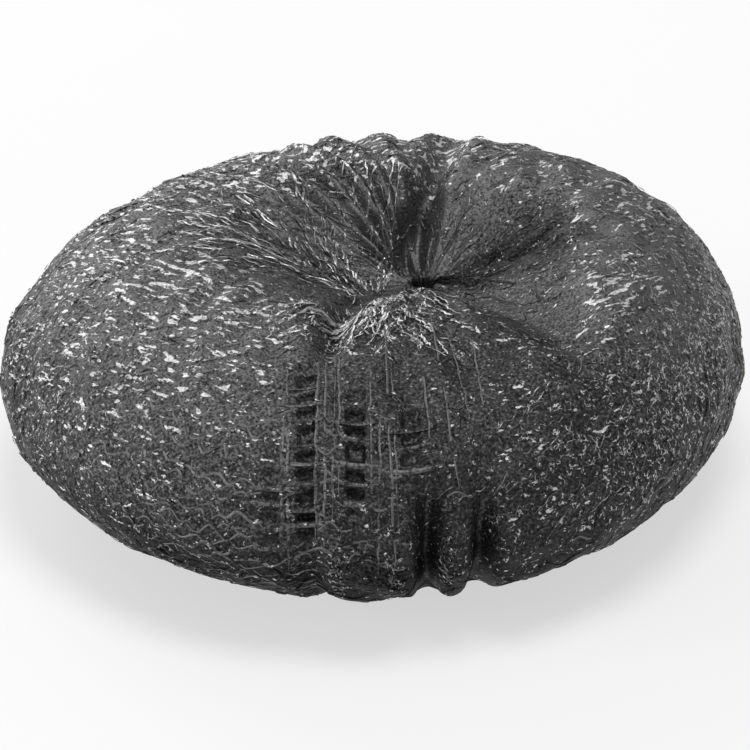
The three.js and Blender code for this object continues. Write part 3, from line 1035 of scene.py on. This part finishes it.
def head_places():
    """Seeded places all over the ring, more of them where the heads lie thick."""
    tries = HEAD_RUNS * HEAD_TRIES
    angle = rng.uniform(0, TAU, tries)
    distance = rng.uniform(0, section_length, tries)
    radius, height, _, _ = on_section(distance)
    thick = head_thickness(angle, from_widest(distance), height)
    wanted = rng.uniform(0, OUTER_RADIUS, tries) < thick * radius
    wanted &= (radius > HEADS_FROM_HOLE) & ~in_ladder(angle, distance)
    chosen = np.flatnonzero(wanted)[:HEAD_RUNS]
    return angle[chosen], distance[chosen], radius[chosen]


def run_ways(angle, radius):
    level = ramp(radius, *RUN_SLANT_RADII)
    side, back = np.cos(angle), np.sin(angle)
    round_way = (RUN_SLANT * side * side - back) * level
    along_way = -(side + RUN_SLANT * side * back) * level - np.sign(side) * (1 - level)
    return np.arctan2(along_way, round_way) + rng.normal(0, RUN_TURN, len(angle))


def flat_heads():
    angle, distance, radius = head_places()
    turn = run_ways(angle, radius)
    members = rng.integers(1, RUN_MOST + 1, len(angle))
    run = np.repeat(np.arange(len(members)), members)
    number = np.concatenate([np.arange(count) for count in members])
    heads = len(run)
    radius, turn = radius[run], turn[run]
    shift = HEAD_STEP * (number - (members[run] - 1) / 2) + rng.normal(0, HEAD_STEP_SPREAD, heads)
    aside = rng.normal(0, HEAD_ASIDE, heads)
    angle = angle[run] + (shift * np.cos(turn) - aside * np.sin(turn)) / radius
    distance = distance[run] + shift * np.sin(turn) + aside * np.cos(turn)
    way = turn + rng.normal(0, HEAD_TURN, heads)
    length = HEAD_LENGTH * np.exp(rng.normal(0, HEAD_SIZE_SPREAD, heads))
    ends = np.array((-0.5, 0.0, 0.5))
    angle = angle[:, None] + (length * np.cos(way) / radius)[:, None] * ends
    distance = distance[:, None] + (length * np.sin(way))[:, None] * ends
    lift = HEAD_LIFT - HEAD_BEND * np.abs(ends) + rng.normal(0, HEAD_UNEVEN, angle.shape)
    lift = lift + crumple(angle, distance)
    width = HEAD_WIDTH * np.exp(rng.normal(0, HEAD_SIZE_SPREAD, heads))
    shine = rng.uniform(*HEAD_SHINE, len(members))[run] + rng.normal(0, HEAD_SHINE_SPREAD, heads)
    return loose("heads", angle, distance, lift, width, shine, HEAD_STEPS)


# Strands up the stretched patch, in millimetres: X at the foot and top, foot, top, width, then shine
STRANDS = (
    (-11.6, -11.6, 0, 22, 0.5, -0.8), (-10.7, -11.1, -4, 24, 0.36, -0.5), (-7.3, -7.0, 2, 28, 0.42, -0.2),
    (-6.2, -6.0, 0, 28, 0.34, 0.1), (-5.1, -4.8, 5, 29, 0.34, 0.0), (-4.4, -4.4, 8, 30, 0.26, 0.5),
    (0.6, 0.9, -3, 20, 0.3, 0.0), (-0.2, -0.4, 4, 28, 0.22, 0.0), (2.8, 1.5, -2, 33, 0.38, 1.2),
    (3.2, 2.3, 4, 26, 0.24, 0.4), (7.9, 5.2, 10, 32, 0.24, 0.4), (10.9, 7.4, 7, 32, 0.26, 0.8),
    (12.8, 9.0, 14, 32, 0.24, 0.6), (14.4, 12.6, 15, 30, 0.22, 0.2),
)
STRAND_KNOTS = 20
STRAND_STEPS = 3
STRAND_SWAY = 0.07
STRAND_LIFT = 0.1 * MM
STRAND_UNEVEN = 0.08 * MM


def strands():
    foot_x, top_x, foot, top, width, shine = np.array(STRANDS).T
    distance = between_ends(foot, top, STRAND_KNOTS) * MM
    sideways = between_ends(foot_x, top_x, STRAND_KNOTS) + rng.normal(0, STRAND_SWAY, distance.shape)
    angle = angle_at(sideways * MM, distance)
    lift = rng.normal(STRAND_LIFT, STRAND_UNEVEN, distance.shape)
    return loose("strands", angle, distance, lift, width * MM, shine, STRAND_STEPS)


# Rungs between the open cells, each over a rung of the solid and a little past its column
RUNG_KNOTS = 7
RUNG_STEPS = 3
RUNG_PAST = 2.0 * MM
RUNG_ENDS = 1.2
RUNG_RIBBON = 0.6 * MM
RUNG_WIDTHS = (0.6, 1.2)
RUNG_LIFT = -0.02 * MM
RUNG_LIFT_SPREAD = 0.05 * MM
RUNG_SHINE_SPREAD = 0.6


def rungs():
    rows = np.array([(left - RUNG_PAST, right + RUNG_PAST, foot + CELL_PITCH * number, slope, column)
                     for column, (left, right, foot, top, slope, _) in enumerate(CELL_COLUMNS)
                     for number in range(1, math.floor((top - foot) / CELL_PITCH))])
    level, slope, column = rows[:, 2:3], rows[:, 3:4], rows[:, 4:]
    aside = np.linspace(-RUNG_ENDS, RUNG_ENDS, RUNG_KNOTS)
    distance = level + slope * aside - RUNG_SAG * (1 - aside * aside) - rung_wave(level, column)
    angle = angle_at(between_ends(rows[:, 0], rows[:, 1], RUNG_KNOTS), distance)
    lift = crumple(angle, distance) + rng.normal(RUNG_LIFT, RUNG_LIFT_SPREAD, angle.shape)
    width = RUNG_RIBBON * rng.uniform(*RUNG_WIDTHS, len(rows))
    shine = rng.normal(0, RUNG_SHINE_SPREAD, len(rows))
    return loose("rungs", angle, distance, lift, width, shine, RUNG_STEPS)


# Small curls in the folds at the front's foot: X, level and height of each clump
CURLS = ((9.6 * MM, -2 * MM, 7 * MM), (2.5 * MM, -4 * MM, 6 * MM), (-4.4 * MM, -3 * MM, 6 * MM))
CURL_COUNT = 50
CURL_SPREAD = 0.9 * MM
CURL_HEIGHT_SPREAD = 0.5
CURL_RADIUS = 0.3 * MM
CURL_TURNS = (0.0, 1.2, 2.4, 3.6)
CURL_STEPS = 2
CURL_LIFT = 0.15 * MM
CURL_UNEVEN = 0.1 * MM
CURL_WIDTHS = (0.14 * MM, 0.26 * MM)
CURL_SHINE = (-0.8, 2)


def curls():
    clumps = np.repeat(np.array(CURLS), CURL_COUNT, axis=0)
    each = (len(clumps), 1)
    turn = rng.uniform(0, TAU, each) + np.array(CURL_TURNS)
    x = clumps[:, :1] + rng.normal(0, CURL_SPREAD, each) + CURL_RADIUS * np.cos(turn)
    level = clumps[:, 1:2] + clumps[:, 2:] * rng.normal(0, CURL_HEIGHT_SPREAD, each)
    distance = level + CURL_RADIUS * np.sin(turn)
    lift = rng.normal(CURL_LIFT, CURL_UNEVEN, x.shape)
    width = rng.uniform(*CURL_WIDTHS, len(clumps))
    shine = rng.uniform(*CURL_SHINE, len(clumps))
    return loose("curls", angle_at(x, distance), distance, lift, width, shine, CURL_STEPS)


# Thin ribbons that climb to the right beside the creases
CLIMBERS = 56
CLIMB_KNOTS = 7
CLIMB_KNOT_GAP = 0.7 * MM
CLIMB_STEPS = 2
CLIMB_SIDE = math.radians(-60)
CLIMB_SPREAD = math.radians(13)
CLIMB_SLOPE = 0.4
CLIMB_SLOPE_SPREAD = 0.25
CLIMB_LEVELS = (-1 * MM, 20 * MM)
CLIMB_SWAY = 0.22 * MM
CLIMB_LIFT = 0.02 * MM
CLIMB_UNEVEN = 0.05 * MM
CLIMB_WIDTHS = (0.1 * MM, 0.17 * MM)
CLIMB_SHINE = (-0.8, 1.6)


def climbers():
    each, shape = (CLIMBERS, 1), (CLIMBERS, CLIMB_KNOTS)
    way = np.arange(CLIMB_KNOTS) * CLIMB_KNOT_GAP
    angle = rng.normal(CLIMB_SIDE, CLIMB_SPREAD, each) + way / OUTER_RADIUS
    slope = rng.normal(CLIMB_SLOPE, CLIMB_SLOPE_SPREAD, each)
    distance = rng.uniform(*CLIMB_LEVELS, each) + slope * way + rng.normal(0, CLIMB_SWAY, shape)
    lift = crumple(angle, distance) + rng.normal(CLIMB_LIFT, CLIMB_UNEVEN, shape)
    width = rng.uniform(*CLIMB_WIDTHS, CLIMBERS)
    shine = rng.uniform(*CLIMB_SHINE, CLIMBERS)
    return loose("climbers", angle, distance, lift, width, shine, CLIMB_STEPS)


# Ribbons drawn together in a knot in front of the hole, and spread out again over the front's crest
KNOT = (0.8 * MM, 0.0)
CREST = (0.2 * MM, -11.0 * MM)
FANS = (
    # Spot, its spread, ribbons, spans of way in degrees, of start, length and width in mm, of shine, lift
    ("behind", KNOT, 0.5 * MM, 210, (80, 190), (2, 24), (2, 8), (0.14, 0.32), (0.4, 3.8), 0.12 * MM),
    ("right", KNOT, 0.5 * MM, 22, (-20, 80), (4, 24), (3, 8), (0.12, 0.2), (-0.8, 1.2), 0.12 * MM),
    ("tuft", CREST, 3.4 * MM, 380, (-158, -40), (-2, 15), (1, 4), (0.12, 0.34), (0.2, 4.6), 0.1 * MM),
    ("knot", CREST, 3.0 * MM, 60, (0, 360), (0, 4), (1, 3), (0.14, 0.3), (0.6, 4.0), 0.2 * MM),
    ("neck", KNOT, 2.0 * MM, 60, (-115, -60), (1, 9), (2, 5), (0.13, 0.3), (-0.5, 2.6), 0.12 * MM),
    ("strong", CREST, 1.4 * MM, 14, (-150, -105), (1, 6), (4, 9), (0.26, 0.42), (2.4, 3.8), 0.35 * MM),
)
FAN_KNOTS = 8
FAN_STEPS = 3
FAN_BEND = 0.08
FAN_SWAY = 0.09 * MM
FAN_UNEVEN = 0.08 * MM
FAN_FROM_HOLE = 4 * MM


def fan(name, knot, spread, count, ways, starts, lengths, widths, shine, lift):
    """Ribbons that run out from about a spot in front of the hole, between two ways."""
    each = (count, 1)
    share = np.linspace(0, 1, FAN_KNOTS)
    way = np.radians(rng.uniform(*ways, each)) + rng.normal(0, FAN_BEND, each) * share
    reach = (rng.uniform(*starts, each) + rng.uniform(*lengths, each) * share) * MM
    sway = rng.normal(0, FAN_SWAY, (count, FAN_KNOTS))
    x = knot[0] + rng.normal(0, spread, each) + reach * np.cos(way) - sway * np.sin(way)
    y = knot[1] + reach * np.sin(way) + sway * np.cos(way)
    angle, distance = place_at(x, y)
    clear = on_section(distance)[0].min(axis=1) > FAN_FROM_HOLE
    angle, distance = np.unwrap(angle[clear], axis=1), distance[clear]
    height = rng.normal(lift, FAN_UNEVEN, angle.shape)
    width = rng.uniform(*widths, len(angle)) * MM
    bright = rng.uniform(*shine, len(angle))
    return loose(name, angle, distance, height, width, bright, FAN_STEPS)


# How much painted light the drawn ribbons get over the knit, as less painted shade
STRAND_PAINTED_LIGHT = 0.75
RUNG_PAINTED_LIGHT = 0.5
DRAWN_PAINTED_LIGHT = 1.25
LIGHT_BY_SHINE = 0.5


def paint_lighter(sheet, share):
    """Makes the knit of a sheet plain, without painted glints, and paints it lighter, with less painted
    shade, by a share that differs along its ribbons.
    """
    shine, gloom = read_values(sheet, "shine"), read_values(sheet, "gloom")
    none = np.zeros_like(shine)
    write_values(sheet, gloom=gloom - share * (1 + LIGHT_BY_SHINE * shine), flecks=none, specks=none)
    return sheet


# The pieces, in the order in which their loose values are drawn
ribbon_metal = ribbon_steel("galvanised ribbon")
knit_metal = knitted_steel("galvanised knit")
join("matted_turns", [matted_turns()], knit_metal).data.shade_smooth()
for name, zones in OUTER_STITCHES:
    join(name, [knit(name, *zone) for zone in zones], knit_metal)
cells = paint_lighter(drawn_cells(), DRAWN_PAINTED_LIGHT)
join("flat_heads", [flat_heads()], ribbon_metal)
ladder = [paint_lighter(strands(), STRAND_PAINTED_LIGHT), paint_lighter(rungs(), RUNG_PAINTED_LIGHT)]
join("drawn_ribbons", ladder + [cells], knit_metal)
join("loose_ribbons", [curls(), climbers()] + [fan(*row) for row in FANS], ribbon_metal)

# Floor that looks white and keeps a part of the shadow
FLOOR_SIZE = 6.0
FLOOR_TONE = 0.9
FLOOR_ROUGHNESS = 0.9
FLOOR_GLOW = 0.6


def white_paint():
    material, tree, paint = new_material("white floor")
    set_inputs(paint, {"Base Color": grey(FLOOR_TONE), "Roughness": FLOOR_ROUGHNESS,
                       "Specular IOR Level": 0.0})
    glow = node(tree, "ShaderNodeEmission")
    seen = node(tree, "ShaderNodeLightPath").outputs
    direct = calculate(tree, "MAXIMUM", seen["Is Camera Ray"], seen["Is Glossy Ray"])
    direct = calculate(tree, "MAXIMUM", direct, seen["Is Transmission Ray"])
    direct = calculate(tree, "MULTIPLY", direct, FLOOR_GLOW)
    mixed = node(tree, "ShaderNodeMixShader")
    for socket, source in zip(mixed.inputs, (direct, paint.outputs["BSDF"], glow.outputs["Emission"])):
        tree.links.new(source, socket)
    tree.links.new(mixed.outputs["Shader"], tree.nodes["Material Output"].inputs["Surface"])
    return material


def lay_floor():
    bm = bmesh.new()
    bmesh.ops.create_grid(bm, x_segments=1, y_segments=1, size=FLOOR_SIZE / 2)
    floor = add_object("floor", to_mesh("floor", bm))
    floor.data.materials.append(white_paint())


# Light: an even white surround, and lamps by place, size and watts
SURROUND = 0.36
LAMP_AIM = Vector((0, 0, 0.02))
LAMPS = (
    ("back", (-0.4, 0.7, 0.38), 0.6, 3),
    ("side", (-0.8, -0.1, 0.14), 0.3, 3),
    ("top", (0.1, -0.1, 1.0), 0.5, 5),
)


def light_surround():
    world = bpy.data.worlds.new("studio")
    bpy.context.scene.world = world
    world.use_nodes = True
    set_inputs(world.node_tree.nodes["Background"], {"Color": grey(1), "Strength": SURROUND})


def hang_lamp(name, place, size, watts):
    light = bpy.data.lights.new(name, "AREA")
    light.shape = "DISK"
    light.size = size
    light.energy = watts
    holder = add_object(name, light)
    holder.location = place
    holder.rotation_euler = (LAMP_AIM - Vector(place)).to_track_quat("-Z", "Y").to_euler()


# Camera: 29.5 degrees above the floor, from the stretched side
SIGHT_ELEVATION = math.radians(29.5)
SIGHT_DISTANCE = 0.672
SIGHT_LENS = 237.8
SIGHT_SENSOR = 36
SIGHT_CLIP = 0.05
SIGHT_RIGHT = 0.24 * MM
SIGHT_DOWN = 2.05 * MM
SIGHT_MIDDLE = 17 * MM


def place_camera():
    way = Vector((0, -math.cos(SIGHT_ELEVATION), math.sin(SIGHT_ELEVATION)))
    up = Vector((0, math.sin(SIGHT_ELEVATION), math.cos(SIGHT_ELEVATION)))
    camera = add_object("camera", bpy.data.cameras.new("camera"))
    camera.data.lens = SIGHT_LENS
    camera.data.sensor_width = SIGHT_SENSOR
    camera.data.clip_start = SIGHT_CLIP
    camera.location = Vector((SIGHT_RIGHT, 0, SIGHT_MIDDLE)) + way * SIGHT_DISTANCE - up * SIGHT_DOWN
    camera.rotation_euler = (-way).to_track_quat("-Z", "Y").to_euler()
    bpy.context.scene.camera = camera


lay_floor()
light_surround()
for row in LAMPS:
    hang_lamp(*row)
place_camera()
bpy.context.scene.view_settings.view_transform = "Standard"
